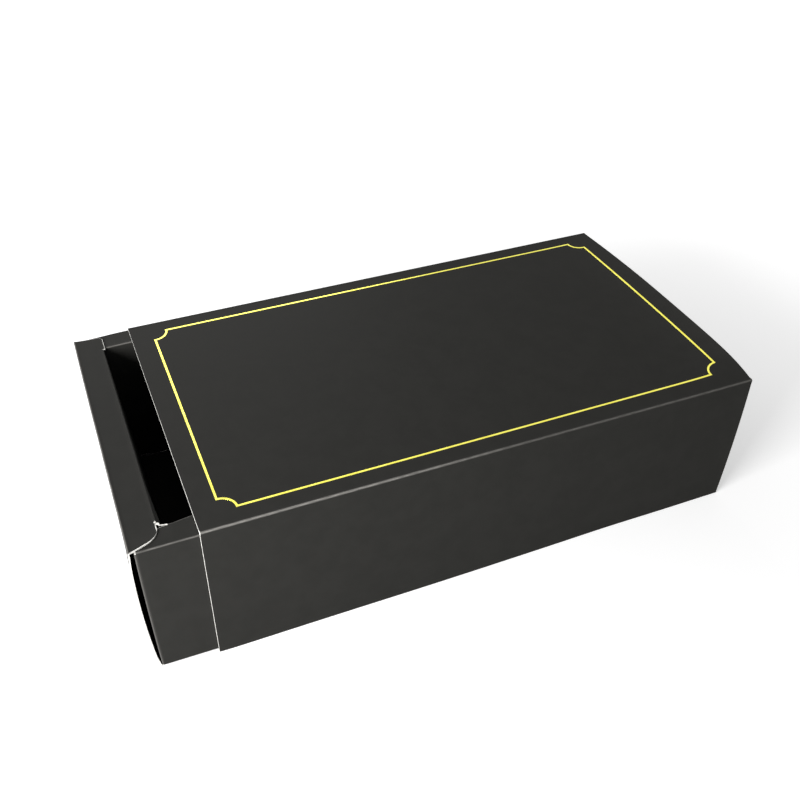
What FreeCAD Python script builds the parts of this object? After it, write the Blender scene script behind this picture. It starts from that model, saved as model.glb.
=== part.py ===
import FreeCAD, Part
import math
import os

from FreeCAD import Vector

# Sliding drawer gift box: a folded paperboard sleeve, open at both ends, with a
# hollow-walled folded tray that slides in it. Millimetres, +Z up, the drawer opens
# towards -Y. The origin is the centre of the face that the sleeve stands on.
#
# Both blanks are cut into their flat panels along the creases. Two panels meet
# halfway round their crease, so together they still make the rounded fold.

# Board
board = 0.5
crease_inside = 0.5
crease = board + crease_inside

# Sleeve
sleeve_width = 120
sleeve_length = 210
sleeve_height = 60
glue_flap_width = 15
glue_flap_slant = 6

# The sleeve's free back edges spring out between the creases
flare_length = 30
top_flare = 3.2
side_flare = 1.1
flare_power = 3
flare_shares = (0, 0.25, 0.5, 0.75, 1)

# Foil line on the sleeve's top, measured to the middle of the line
foil_thickness = 0.05
foil_line_width = 0.95
foil_end_inset = 8.1
foil_side_inset = 6.6
foil_corner_radius = 5.3

# Room for the tray in the sleeve
side_gap = 0.5
floor_gap = 0.3
head_gap = 0.6
end_margin = 0.7
pulled_out = 21

# Tray: walls on the two long sides
side_rim_width = 8
side_inner_shortfall = 3

# Tray: walls on the two ends
end_rim_width = 10.2
end_wall_lean = 1.1
end_wall_bow = 0.3
end_inner_lean = 5.35
end_inner_gap = 1.25
ear_radius = 5.5
ear_setback = 0.6
bow_shares = (-1, -0.5, 0, 0.5, 1)

# Tray: flaps at the corners, and the tabs that lock the inner walls in the base
corner_flap_length = 30
corner_flap_slant = 5
tab_length = 18
slot_clearance = 0.15
side_tab_shares = (-0.6, 0, 0.6)
end_tab_shares = (-0.5, 0.5)

# Cuts run past the faces that they open by this much
overrun = 2

# Places worked out from the sizes above
half_width = sleeve_width / 2
half_length = sleeve_length / 2
tray_half_width = half_width - board - side_gap
tray_bottom = board + board + floor_gap
tray_floor = tray_bottom + board
tray_top = sleeve_height - board - head_gap
side_top = tray_top - board
side_inner_face = tray_half_width - side_rim_width
end_foot = half_length - end_margin
side_end = end_foot - board
end_fold = end_foot + end_wall_lean
end_inner_fold = end_fold - end_rim_width
end_inner_foot = end_inner_fold - end_inner_lean
end_inner_half_width = side_inner_face - end_inner_gap
side_inner_half_length = end_inner_fold - side_inner_shortfall


def across(y):
    """Place drawing points (x, z) in the plane across the box at y."""
    return lambda point: Vector(point.x, y, point.y)


def along(x):
    """Place drawing points (y, z) in the plane along the box at x."""
    return lambda point: Vector(x, point.x, point.y)


def level(z):
    """Place drawing points (x, y) in the level plane at z."""
    return lambda point: Vector(point.x, point.y, z)


def left_of(direction):
    """The direction a quarter turn to the left in a drawing."""
    return Vector(-direction.y, direction.x, 0)


def unit(vector):
    """A copy of the vector with length 1."""
    return Vector(vector).normalize()


def half_crease(corner, away, other):
    """One panel's half of the crease at a sharp outside corner of a drawing.

    away points from the corner along this panel and other along the next one.
    Returns the outside arc's start, middle and end and the same for the inside.
    """
    opening = away.getAngle(other)
    centre_reach = crease / math.sin(opening / 2)
    centre = corner + unit(away + other) * centre_reach
    tangent = corner + away * (crease / math.tan(opening / 2))
    outward = unit(tangent - centre)
    halfway = unit(corner - centre)
    between = unit(outward + halfway)
    outside = [centre + turn * crease for turn in (outward, between, halfway)]
    inside = [centre + turn * crease_inside for turn in (outward, between, halfway)]
    return outside, inside


def panel_wire(corners, index, place, arch=0):
    """Closed outline of one panel of a folded strip, seen edge on.

    corners are the strip's sharp outside corners, which all turn left, and its
    board lies to the left of them. arch bows the panel's flat stretch outwards.
    """
    start = corners[index]
    end = corners[index + 1]
    forward = unit(end - start)
    inward = left_of(forward)
    edges = []

    def line(first, second):
        edges.append(Part.LineSegment(place(first), place(second)).toShape())

    def arc(first, middle, last):
        edges.append(Part.Arc(place(first), place(middle), place(last)).toShape())

    def flat(first, second):
        if arch > 0:
            arc(first, (first + second) / 2 - inward * arch, second)
        else:
            line(first, second)

    outside_start = start
    inside_start = start + inward * board
    outside_end = end
    inside_end = end + inward * board
    start_bend = None
    end_bend = None
    if index > 0:
        start_bend = half_crease(start, forward, unit(corners[index - 1] - start))
        outside_start = start_bend[0][0]
        inside_start = start_bend[1][0]
    if index + 2 < len(corners):
        end_bend = half_crease(end, -forward, unit(corners[index + 2] - end))
        outside_end = end_bend[0][0]
        inside_end = end_bend[1][0]

    flat(outside_start, outside_end)
    if end_bend:
        arc(*end_bend[0])
        line(end_bend[0][2], end_bend[1][2])
        arc(*reversed(end_bend[1]))
    else:
        line(outside_end, inside_end)
    flat(inside_end, inside_start)
    if start_bend:
        arc(*start_bend[1])
        line(start_bend[1][2], start_bend[0][2])
        arc(*reversed(start_bend[0]))
    else:
        line(inside_start, outside_start)
    return Part.Wire(edges)


def box_between(low, high):
    """A box from its low corner to its high corner."""
    size = high - low
    return Part.makeBox(size.x, size.y, size.z, low)


def prism_across(corners, index, y_from, y_to):
    """One panel of a strip drawn across the box, run from y_from to y_to."""
    face = Part.Face(panel_wire(corners, index, across(y_from)))
    return face.extrude(Vector(0, y_to - y_from, 0))


# Sleeve

sleeve_corners = [
    Vector(board - half_width, 0),
    Vector(half_width, 0),
    Vector(half_width, sleeve_height),
    Vector(-half_width, sleeve_height),
    Vector(-half_width, board),
    Vector(glue_flap_width - half_width, board),
]
BOTTOM, RIGHT, TOP, LEFT, GLUE_FLAP = range(5)


def flare_stations(amount):
    """The y places of the flare's sections, each with its rise."""
    start = half_length - flare_length
    return [
        (start + flare_length * share, amount * share**flare_power)
        for share in flare_shares
    ]


def sleeve_panel(index, amount=0):
    """One panel of the sleeve, sprung out at its back end by the amount."""
    if amount == 0:
        return prism_across(sleeve_corners, index, -half_length, half_length)
    flat_end = half_length - flare_length
    straight = prism_across(sleeve_corners, index, -half_length, flat_end)
    sections = [
        panel_wire(sleeve_corners, index, across(y), rise)
        for y, rise in flare_stations(amount)
    ]
    return straight.fuse(Part.makeLoft(sections, True)).removeSplitter()


def glue_flap():
    """The flap glued to the bottom panel inside, its two ends cut at a slant."""
    flap = sleeve_panel(GLUE_FLAP)
    fold = crease - half_width
    free = glue_flap_width - half_width
    slant = glue_flap_slant / (free - fold)
    for side in (-1, 1):
        past = half_length + overrun
        outline = [
            Vector(fold, side * half_length, 0),
            Vector(free + overrun, side * (half_length - slant * (free + overrun - fold)), 0),
            Vector(free + overrun, side * past, 0),
            Vector(fold, side * past, 0),
        ]
        corner = Part.Face(Part.makePolygon(outline + outline[:1]))
        flap = flap.cut(corner.extrude(Vector(0, 0, sleeve_height)))
    return flap


def foil_outline(offset):
    """Outline of the frame line, moved outwards by the offset.

    The scooped corners are arcs about the frame's own corners, so moving the
    outline outwards makes them smaller.
    """
    half_x = half_width - foil_side_inset
    half_y = half_length - foil_end_inset
    radius = foil_corner_radius - offset
    reach = math.sqrt(radius**2 - offset**2)
    scoop = radius / math.sqrt(2)
    edges = []
    quarter_turns = ((1, 1), (-1, 1), (-1, -1), (1, -1))
    for number, (side_x, side_y) in enumerate(quarter_turns):
        on_side = Vector(side_x * (half_x + offset), side_y * (half_y - reach), 0)
        middle = Vector(side_x * (half_x - scoop), side_y * (half_y - scoop), 0)
        on_end = Vector(side_x * (half_x - reach), side_y * (half_y + offset), 0)
        first, last = (on_side, on_end) if side_x * side_y > 0 else (on_end, on_side)
        if edges:
            edges.append(Part.LineSegment(previous, first).toShape())
        else:
            opening_point = first
        edges.append(Part.Arc(first, middle, last).toShape())
        previous = last
    edges.append(Part.LineSegment(previous, opening_point).toShape())
    return Part.Wire(edges)


def foil_frame_line():
    """The stamped foil line, lying on the top panel and following its flare."""

    def sheet_wire(y, rise):
        edge = half_width - crease
        low = Vector(0, y, sleeve_height + rise)
        lift = Vector(0, 0, foil_thickness)
        ends = [Vector(-edge, y, sleeve_height), Vector(edge, y, sleeve_height)]
        edges = []
        for first, middle, last in (
            (ends[0], low, ends[1]),
            (ends[1] + lift, low + lift, ends[0] + lift),
        ):
            if edges:
                edges.append(Part.LineSegment(ends[1], first).toShape())
            if rise > 0:
                edges.append(Part.Arc(first, middle, last).toShape())
            else:
                edges.append(Part.LineSegment(first, last).toShape())
        edges.append(Part.LineSegment(ends[0] + lift, ends[0]).toShape())
        return Part.Wire(edges)

    stations = flare_stations(top_flare)
    flared = Part.makeLoft([sheet_wire(y, rise) for y, rise in stations], True)
    flat_face = Part.Face(sheet_wire(-half_length, 0))
    flat = flat_face.extrude(Vector(0, sleeve_length - flare_length, 0))
    sheet = flat.fuse(flared).removeSplitter()

    half_line = foil_line_width / 2
    ring = Part.Face(foil_outline(half_line)).cut(Part.Face(foil_outline(-half_line)))
    ring.translate(Vector(0, 0, sleeve_height - overrun))
    column = ring.extrude(Vector(0, 0, overrun + top_flare + overrun))
    return sheet.common(column)


# Tray

side_corners = [
    Vector(-side_inner_face, tray_bottom),
    Vector(-side_inner_face, side_top),
    Vector(-tray_half_width, side_top),
    Vector(-tray_half_width, tray_bottom),
    Vector(tray_half_width, tray_bottom),
    Vector(tray_half_width, side_top),
    Vector(side_inner_face, side_top),
    Vector(side_inner_face, tray_bottom),
]
BASE, OUTER_WALL, RIM, INNER_WALL = range(3, 7)


def end_corners(bow):
    """The tray's outside corners along the box, with the end walls bowed out."""
    return [
        Vector(-end_inner_foot, tray_bottom),
        Vector(-end_inner_fold, tray_top),
        Vector(-end_fold - bow, tray_top),
        Vector(-end_foot, tray_bottom),
        Vector(end_foot, tray_bottom),
        Vector(end_fold + bow, tray_top),
        Vector(end_inner_fold, tray_top),
        Vector(end_inner_foot, tray_bottom),
    ]


def bowed_panel(index, half_span):
    """A panel of an end wall, lofted across the box through its bowed sections."""
    sections = []
    for share in bow_shares:
        x = share * half_span
        bow = end_wall_bow * (1 - (x / tray_half_width) ** 2)
        sections.append(panel_wire(end_corners(bow), index, along(x)))
    return Part.makeLoft(sections, True)


def tab_places(shares, half_span):
    """Where the tabs stand along a wall: their two ends, as pairs."""
    return [
        (share * half_span - tab_length / 2, share * half_span + tab_length / 2)
        for share in shares
    ]


def base():
    """The tray's floor, with half a crease on each side and the slots for the tabs."""
    side_to_side = prism_across(side_corners, BASE, crease - end_foot, end_foot - crease)
    half_span = tray_half_width - crease
    end_face = Part.Face(panel_wire(end_corners(0), BASE, along(-half_span)))
    end_to_end = end_face.extrude(Vector(half_span + half_span, 0, 0))
    floor = side_to_side.fuse(end_to_end).removeSplitter()

    low = tray_bottom - overrun
    high = tray_floor + overrun
    for side in (-1, 1):
        near = side_inner_face - slot_clearance
        far = side_inner_face + board + slot_clearance
        for start, end in tab_places(side_tab_shares, side_inner_half_length):
            slot = box_between(
                Vector(min(side * near, side * far), start - slot_clearance, low),
                Vector(max(side * near, side * far), end + slot_clearance, high),
            )
            floor = floor.cut(slot)
        lean = board * end_inner_lean / (tray_top - tray_bottom)
        near = end_inner_foot - slot_clearance
        far = end_inner_foot + board + lean + slot_clearance
        for start, end in tab_places(end_tab_shares, end_inner_half_width):
            slot = box_between(
                Vector(start - slot_clearance, min(side * near, side * far), low),
                Vector(end + slot_clearance, max(side * near, side * far), high),
            )
            floor = floor.cut(slot)
    return floor


def side_outer_wall():
    """The right outer wall: half creases to the base, the rim and both corner flaps."""
    run = side_end - crease
    wall = prism_across(side_corners, OUTER_WALL, -run, run)
    turn = [
        Vector(tray_half_width, side_end - crease - crease),
        Vector(tray_half_width, side_end),
        Vector(tray_half_width - corner_flap_length, side_end),
    ]
    low = tray_bottom + crease
    rise = Vector(0, 0, side_top - crease - low)
    end = Part.Face(panel_wire(turn, 0, level(low))).extrude(rise)
    front_end = end.mirror(Vector(0, 0, 0), Vector(0, 1, 0))
    return wall.fuse([end, front_end]).removeSplitter()


def side_rim():
    """The right rim, which passes under the ears of the end rims."""
    run = side_end - crease
    return prism_across(side_corners, RIM, -run, run)


def side_inner_wall():
    """The right inner wall, standing on the base with its tabs through the slots."""
    run = side_inner_half_length
    wall = prism_across(side_corners, INNER_WALL, -run, run)
    places = tab_places(side_tab_shares, side_inner_half_length)
    edges = [-run - overrun]
    for start, end in places:
        edges += [start, end]
    edges.append(run + overrun)
    for start, end in zip(edges[::2], edges[1::2]):
        low = Vector(side_inner_face - overrun, start, tray_bottom - overrun)
        high = Vector(side_inner_face + board + overrun, end, tray_floor)
        wall = wall.cut(box_between(low, high))
    return wall


def corner_flap():
    """The back right corner flap, folded in behind the end wall, its end tapered."""
    turn = [
        Vector(tray_half_width, side_end - crease - crease),
        Vector(tray_half_width, side_end),
        Vector(tray_half_width - corner_flap_length, side_end),
    ]
    low = tray_bottom + crease
    high = side_top - crease
    flap = Part.Face(panel_wire(turn, 1, level(low))).extrude(Vector(0, 0, high - low))
    root = tray_half_width - crease
    tip = tray_half_width - corner_flap_length
    slope = corner_flap_slant / (root - tip)
    reach = root - tip + overrun
    for edge, side in ((low, -1), (high, 1)):
        outline = [
            Vector(root, side_end + overrun, edge),
            Vector(root - reach, side_end + overrun, edge - side * slope * reach),
            Vector(root - reach, side_end + overrun, edge + side * overrun),
            Vector(root, side_end + overrun, edge + side * overrun),
        ]
        wedge = Part.Face(Part.makePolygon(outline + outline[:1]))
        through = Vector(0, -overrun - board - overrun, 0)
        flap = flap.cut(wedge.extrude(through))
    return flap


def end_outer_wall():
    """The back outer wall: straight along its foot, bowed along its top."""
    return bowed_panel(OUTER_WALL, tray_half_width)


def end_rim():
    """The back rim, with rounded ears that lie on the side rims."""
    rim = bowed_panel(RIM, tray_half_width)
    inner_edge = end_inner_fold + ear_setback
    arc_start = Vector(tray_half_width, inner_edge + ear_radius, 0)
    arc_end = Vector(tray_half_width - ear_radius, inner_edge, 0)
    centre = Vector(tray_half_width - ear_radius, inner_edge + ear_radius, 0)
    arc_middle = centre + unit(Vector(1, -1, 0)) * ear_radius
    outside = tray_half_width + overrun
    inside = end_inner_fold - overrun
    corners = [
        arc_end,
        Vector(end_inner_half_width, inner_edge, 0),
        Vector(end_inner_half_width, inside, 0),
        Vector(outside, inside, 0),
        Vector(outside, arc_start.y, 0),
        arc_start,
    ]
    edges = [
        Part.LineSegment(first, second).toShape()
        for first, second in zip(corners, corners[1:])
    ]
    edges.append(Part.Arc(arc_start, arc_middle, arc_end).toShape())
    trim = Part.Face(Part.Wire(edges))
    trim.translate(Vector(0, 0, side_top - overrun))
    trim = trim.extrude(Vector(0, 0, overrun + board + overrun))
    return rim.cut([trim, trim.mirror(Vector(0, 0, 0), Vector(1, 0, 0))])


def end_inner_wall():
    """The back inner wall, leaning into the tray, its tabs through the slots."""
    run = end_inner_half_width
    face = Part.Face(panel_wire(end_corners(0), INNER_WALL, along(-run)))
    wall = face.extrude(Vector(run + run, 0, 0))
    edges = [-run - overrun]
    for start, end in tab_places(end_tab_shares, end_inner_half_width):
        edges += [start, end]
    edges.append(run + overrun)
    for start, end in zip(edges[::2], edges[1::2]):
        low = Vector(start, end_inner_foot - overrun, tray_bottom - overrun)
        high = Vector(end, end_inner_foot + board + overrun, tray_floor)
        wall = wall.cut(box_between(low, high))
    return wall


def sleeve_nodes():
    """Every node of the sleeve, by name."""
    return {
        "sleeve_bottom_panel": sleeve_panel(BOTTOM),
        "sleeve_right_panel": sleeve_panel(RIGHT, side_flare),
        "sleeve_top_panel": sleeve_panel(TOP, top_flare),
        "sleeve_left_panel": sleeve_panel(LEFT, side_flare),
        "sleeve_glue_flap": glue_flap(),
        "foil_frame_line": foil_frame_line(),
    }


def tray_nodes():
    """Every node of the tray, by name, in the place where the drawer is pulled out."""
    origin = Vector(0, 0, 0)
    nodes = {"drawer_base": base()}
    for name, right in (
        ("outer_wall", side_outer_wall()),
        ("rim", side_rim()),
        ("inner_wall", side_inner_wall()),
    ):
        nodes["drawer_right_" + name] = right
        nodes["drawer_left_" + name] = right.mirror(origin, Vector(1, 0, 0))
    for name, back in (
        ("outer_wall", end_outer_wall()),
        ("rim", end_rim()),
        ("inner_wall", end_inner_wall()),
    ):
        nodes["drawer_back_" + name] = back
        nodes["drawer_front_" + name] = back.mirror(origin, Vector(0, 1, 0))
    back_right = corner_flap()
    for side, right in (
        ("back", back_right),
        ("front", back_right.mirror(origin, Vector(0, 1, 0))),
    ):
        nodes["drawer_" + side + "_right_corner_flap"] = right
        nodes["drawer_" + side + "_left_corner_flap"] = right.mirror(origin, Vector(1, 0, 0))
    for shape in nodes.values():
        shape.translate(Vector(0, -pulled_out, 0))
    return nodes


os.makedirs("parts", exist_ok=True)
nodes = {**sleeve_nodes(), **tray_nodes()}
for name, shape in nodes.items():
    shape.exportStep("parts/" + name + ".step")
    print(name, "solids", len(shape.Solids), "valid", shape.isValid(), "volume", round(shape.Volume, 1))
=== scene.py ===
# Sliding drawer gift box of folded black board: a sleeve with a stamped foil frame line,
# open at both ends, and a hollow-walled tray that is pulled a little way out of it.

import math

import bpy
import numpy as np
from bpy.props import FloatProperty, FloatVectorProperty, PointerProperty
from bpy.types import Operator, Panel, PropertyGroup
from mathutils import Matrix, Vector


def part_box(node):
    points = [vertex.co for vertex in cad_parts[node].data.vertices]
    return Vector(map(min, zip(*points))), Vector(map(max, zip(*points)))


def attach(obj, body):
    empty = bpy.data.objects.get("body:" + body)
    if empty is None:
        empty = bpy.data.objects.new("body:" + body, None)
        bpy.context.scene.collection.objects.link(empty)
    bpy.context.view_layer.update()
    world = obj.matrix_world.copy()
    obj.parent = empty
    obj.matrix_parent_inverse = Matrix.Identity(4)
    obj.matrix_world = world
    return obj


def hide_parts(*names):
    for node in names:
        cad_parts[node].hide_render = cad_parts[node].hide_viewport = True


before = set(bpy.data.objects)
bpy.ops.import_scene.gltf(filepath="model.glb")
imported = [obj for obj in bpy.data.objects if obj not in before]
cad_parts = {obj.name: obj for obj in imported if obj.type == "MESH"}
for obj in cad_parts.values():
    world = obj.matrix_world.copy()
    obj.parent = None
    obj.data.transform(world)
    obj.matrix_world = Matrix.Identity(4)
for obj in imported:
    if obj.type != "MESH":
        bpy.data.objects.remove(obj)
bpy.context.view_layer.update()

bl_info = {
    "name": "Drawer gift box",
    "version": (1, 0, 0),
    "blender": (4, 5, 0),
    "location": "3D View > Sidebar > Gift box",
    "description": "Folds a drawer gift box from black board and lights it in a studio",
    "category": "Object",
}

# Places read from the frame, in metres
sleeve_floor_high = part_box("sleeve_bottom_panel")[1]
foil_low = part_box("foil_frame_line")[0]
tray_floor_low, tray_floor_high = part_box("drawer_base")
front_rim_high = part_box("drawer_front_rim")[1]
right_wall_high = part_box("drawer_right_outer_wall")[1]
tray_middle = (tray_floor_low.y + tray_floor_high.y) / 2

# The two long sides of the tray and the panels of each hollow wall, as the CAD names them
SIDES = ("right", "left")
WALL_PARTS = ("_outer_wall", "_rim", "_inner_wall")

# How finely the folds are divided, and the extra rows beside folds and beside cut ends
FOLD_STEPS = 8
BESIDE_FOLD = (0.00015, 0.0003, 0.0005, 0.0007, 0.001, 0.0013)
BESIDE_CUT = (0, 0.0004, 0.0015)

# Longest cells along the sleeve, the long walls, the base, the end walls and the ears
SLEEVE_CELL = 0.0035
LONG_WALL_CELL = 0.0045
BASE_CELL = 0.006
END_WALL_CELL = 0.0035
EAR_CELL = 0.0011

# Cells across the sleeve's five panels, rows round a scoop of the foil line, and cells along
# its short and long runs
SLEEVE_PANEL_CELLS = (24, 14, 28, 14, 3)
SCOOP_ROWS = 17
FOIL_CELLS = (44, 90)

# Rubbing with a painted highlight on each fold: its share at the edge of a fold, its rise
# towards the middle of the fold, and how far it reaches past the edge
FOLD_AT_TANGENT = 0.25
FOLD_POWER = 1.5
FOLD_FADE = 0.00015

# How far the scored bead reaches on either side of a fold
BEAD_REACH = 0.0006

# Fall of the slope along a cut edge for each unit of its width
CUT_STEEPNESS = 0.4

# Added to every direction, so that one without a length can be divided by it
TINY = 1e-12

# Where in the slow wave the sleeve's sides, the long walls and the end walls ripple
SIDE_RIPPLE_START = 0.3
LONG_RIPPLE_START = 0.7
END_RIPPLE_START = 0.5

# The arch of the sleeve's back edge: powers of its halves, and the near side's extra flare
NEAR_ARCH_POWER = 5.5
FAR_ARCH_POWER = 2
NEAR_FLARE_EXTRA = 0.12

# The lean of the near top fold: its share in front, where it grows from and over what
# length, and how
LEAN_BEFORE = 0.1
LEAN = (-0.065, 0.15)
LEAN_POWER = 1.2

# Swells of the sleeve's near bottom fold: middle, width and how far it swells out
FOOT_SWELLS = ((-0.02, 0.035, 0.00022), (0.052, 0.02, -0.00025))
CORNER_LIFT_LENGTH = 0.008

# The crushed mouth: its share at the far side, the near top corner's share and width,
# and how ragged it is
FAR_CRUSH = 0.75
CORNER_CRUSH = 5
CRUSHED_CORNER = 0.0009
CRUSH_RAGGED = 0.3

# Rubbing and painted highlight on the sleeve's folds, and how the near top fold's painted
# highlight fades towards the back, as the light from the front falls off
SLEEVE_FOLD_WEAR_HIGHLIGHT = 0.35
NEAR_TOP_WEAR_HIGHLIGHT = 0.4
HIGHLIGHT_FADE_END = 0.02
HIGHLIGHT_FADE_LENGTH = 0.07

# Rubbing and painted highlight on the long walls' folds, and on their corner folds with its
# place in fold radii and its width
LONG_FOLD_WEAR_HIGHLIGHT = 0.55
CORNER_WEAR_HIGHLIGHT = 0.36
CORNER_HIGHLIGHT_PLACE = 0.8
CORNER_HIGHLIGHT_WIDTH = 0.00038

# Rubbing and painted highlight on the end walls' top folds, on their rims' inner folds and
# on the others
TOP_FOLD_WEAR_HIGHLIGHT = 0.6
INNER_FOLD_WEAR_HIGHLIGHT = 0.08
END_FOLD_WEAR_HIGHLIGHT = 0.4

# Places across the foil line as shares of its half width, and its sharp edges' least angle
# in degrees
ACROSS_FOIL = (-1, -0.94, -0.5, 0, 0.5, 0.94, 1)
FOIL_SMOOTH = 10

# Middles of the tabs as shares of their wall's half length, and where the end slots start
SIDE_TAB_SHARES = (-0.6, 0, 0.6)
END_TAB_SHARES = (-0.5, 0.5)
SLOT_SET_IN = 0.0001

# The far rims' rise: how it grows to the side and its share half way along the tray
FAR_RISE_POWER = 1.5
FAR_RISE_MIDDLE = 0.7

# The far rim's crest: where it climbs and where it falls, each over its length
CREST_CLIMB = (-0.1, 0.014)
CREST_FALL = (-0.07, 0.06)

# Cells up the long inner walls, across their rims, up their outer walls and round their
# corner folds, and those up the end walls and their inner walls
LONG_PANEL_CELLS = (12, 5, 14)
CORNER_FOLD_CELLS = 6
END_PANEL_CELLS = (20, 12)

# Stations kept beside a wall's end, under the end rims, round a flap's tip, as angles with
# their number, and on either side of an ear's root
BESIDE_END = 0.0006
UNDER_RIM = 0.0965
TIP_ANGLES = (0.3, 1.4, 5)
BESIDE_ROOT = (0.0005, 0.00015)

# Rows round an ear's corner, and the share of the rim where its own rows start
EAR_CORNER_ROWS = 17
RIM_START = 0.15

# How far from the middle the ears reach over the near rim's inner fold, and the lengths
# over which that fold comes up behind them and is drawn inwards
EAR_REACH = 0.0958
EAR_REACH_FADE = 0.002
NEAR_DRAW_FADE = 0.011

# Where the near foot rises to the base's lifted corner, in front, and over what length
FOOT_LIFT = (0.07, 0.034)

# The far inner wall's foot, in front: where it comes free and where it is held again, each
# over its length, the share held, and the part whose coating is scraped
FREE_FOOT = (0.066, 0.014)
HELD_FOOT = (0.0885, 0.002)
HELD_SHARE = 0.65
SCRAPED_SHARE = 0.1
SCRAPED_START = 0.07

# The end walls' near edges: where they flare and where they curl back, each over its
# length, how the top fold reaches out, and the share of the flare that it takes
NEAR_FLARE = (0.044, 0.015)
NEAR_CURL = (0.054, 0.005)
NEAR_OUT_POWER = 1.2
FLARE_AT_FOLD = 0.1

# The flare up the wall: the share over which it grows at the foot, its size there and its
# fall, and the share over which it loses some of that under the top fold
FLARE_FOOT = 0.1
FLARE_LOW = 1.3
FLARE_FALL = 0.6
FLARE_HEAD = 0.12
FLARE_HEAD_LOSS = 0.6

# The sagging rim beside the near front ear: where it starts and its length, and how far
# it sinks for each unit by which it moves
LOOSE_RIM = (0.0295, 0.02025)
LOOSE_SAG = 0.8

# How fast an ear rises across the rim, and the height of the notch cut from the end walls'
# feet in fold radii
EAR_RISE_GAIN = 1.1
FOOT_NOTCH = 0.3

# Lengths over which the ripples calm down, the corner's foot is drawn in, an ear rises,
# and past which a rim's inner fold is kept beside the end walls
CALM_LENGTH = 0.02
PINCH_LENGTH = 0.02
EAR_RISE_LENGTH = 0.007
RIM_FOLD_HALF = 0.0003

# Radius of a corner flap's tip, and how much of the full round the tips and ears turn
TIP_RADIUS = 0.003
TIP_ROUND = 0.999
EAR_ROUND = 0.9999

# Share of the base's lifted corner that the front wall's foot follows
FRONT_FOOT_LIFT = 0.35

# Gap between the two flat faces of a double fold where it is not opened
CLOSED_DOUBLE_FOLD = 0.00005

# Crumbs of torn core: place, heading, length, width and rise
CRUMBS = (
    ((0.0496, 0.09524, 0.0001), (2.15, -1.15), 0.0024, 0.0007, 0.0004),
    ((0.049, 0.09565, 0.0001), (0.9, -0.2), 0.0011, 0.0005, 0.0004),
    ((0.05097, 0.0935, 0.00015), (0.63, -2.46), 0.0028, 0.00013, 0.0001),
)
CRUMB_GRID = (13, 9)
CRUMB_PADDING = ((1, 1), (0, 0), (0, 0))
CRUMB_THICKNESS = 0.00015
CRUMB_BEVEL = 0.00001

# The photo's camera: lens in millimetres, place, and the directions ahead and to the right
LENS = 43.1166
CAMERA_PLACE = (0.27039446, -0.1298997, 0.27778395)
CAMERA_AHEAD = (-0.71419101, 0.30991895, -0.62759975)
CAMERA_RIGHT = (0.38845281, 0.92137772, 0.01294282)

# The lamps' places and sizes and where they aim, and the floor's radius and corners
KEY_PLACE = (0.28, -0.53, 0.245)
KEY_SIZE = 0.3
FAR_PLACE = (-0.4, -0.05, 0.2)
FAR_SIZE = 0.35
LAMP_TARGET = (0, 0, 0.03)
FLOOR_RADIUS = 3.0
FLOOR_CORNERS = 64


def metres(name, default, description):
    """A length in metres that the sidebar shows in the scene's units."""
    return FloatProperty(
        name=name, default=default, description=description, unit="LENGTH", precision=5
    )


def ratio(name, default, description):
    """A number without a unit."""
    return FloatProperty(name=name, default=default, description=description, precision=3)


def tint(name, default, description):
    """A linear colour."""
    return FloatVectorProperty(
        name=name, default=default, description=description, subtype="COLOR", size=3, min=0, max=1
    )


class BoardSettings(PropertyGroup):
    thickness: metres("Thickness", 0.0005, "Thickness of the board")
    fold_radius: metres("Fold radius", 0.00055, "Radius of the outside of a fold")
    bead: metres("Bead", 0.00008, "Height of the scored bead along a fold")
    cut_bevel: metres("Cut bevel", 0.00009, "Coating lost along a die-cut edge")
    ripple: metres("Ripple", 0.00006, "How far a panel strays from flat")


class SleeveSettings(PropertyGroup):
    half_width: metres("Half width", sleeve_floor_high.x, "Middle to side")
    half_length: metres("Half length", sleeve_floor_high.y, "Middle to end")
    height: metres("Height", foil_low.z, "Height of the top panel's face")
    flap_width: metres("Glue flap", 0.015, "Width of the glue flap")
    flap_slant: metres("Flap slant", 0.006, "How far the flap's ends slant")
    flare_length: metres("Flare length", 0.03, "Length that springs out at the back")
    top_flare: metres("Top flare", 0.0026, "Rise of the top panel's back edge")
    side_flare: metres("Side flare", 0.0006, "Swell of the side panels' back edges")
    top_lean: metres("Top lean", 0.001, "Lean of the near top fold outwards at the back")
    mouth_crush: metres("Mouth crush", 0.00004, "Coating crushed off the mouth's edge")
    corner_lift: metres("Corner lift", 0.0003, "Lift of the mouth's near bottom corner")


class FoilSettings(PropertyGroup):
    line_width: metres("Line width", 0.00078, "Width of the stamped line")
    thickness: metres("Thickness", 0.00003, "How far the line stands above the board")
    sink: metres("Sink", 0.00003, "How far the line is pressed into the board")
    end_inset: metres("End inset", 0.00793, "Sleeve's end to the middle of the line")
    side_inset: metres("Side inset", 0.00702, "Sleeve's side to the middle of the line")
    shift_across: metres("Shift across", -0.00014, "Stamp's place off the middle, across")
    shift_along: metres("Shift along", 0.00062, "Stamp's place off the middle, along")
    back_skew: metres("Back skew", 0.0003, "Draw of the back line's near end forwards")
    scoop: metres("Scoop radius", 0.0053, "Radius of the scooped corners")
    waver: metres("Waver", 0.000012, "How far the stamped edges waver")


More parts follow.
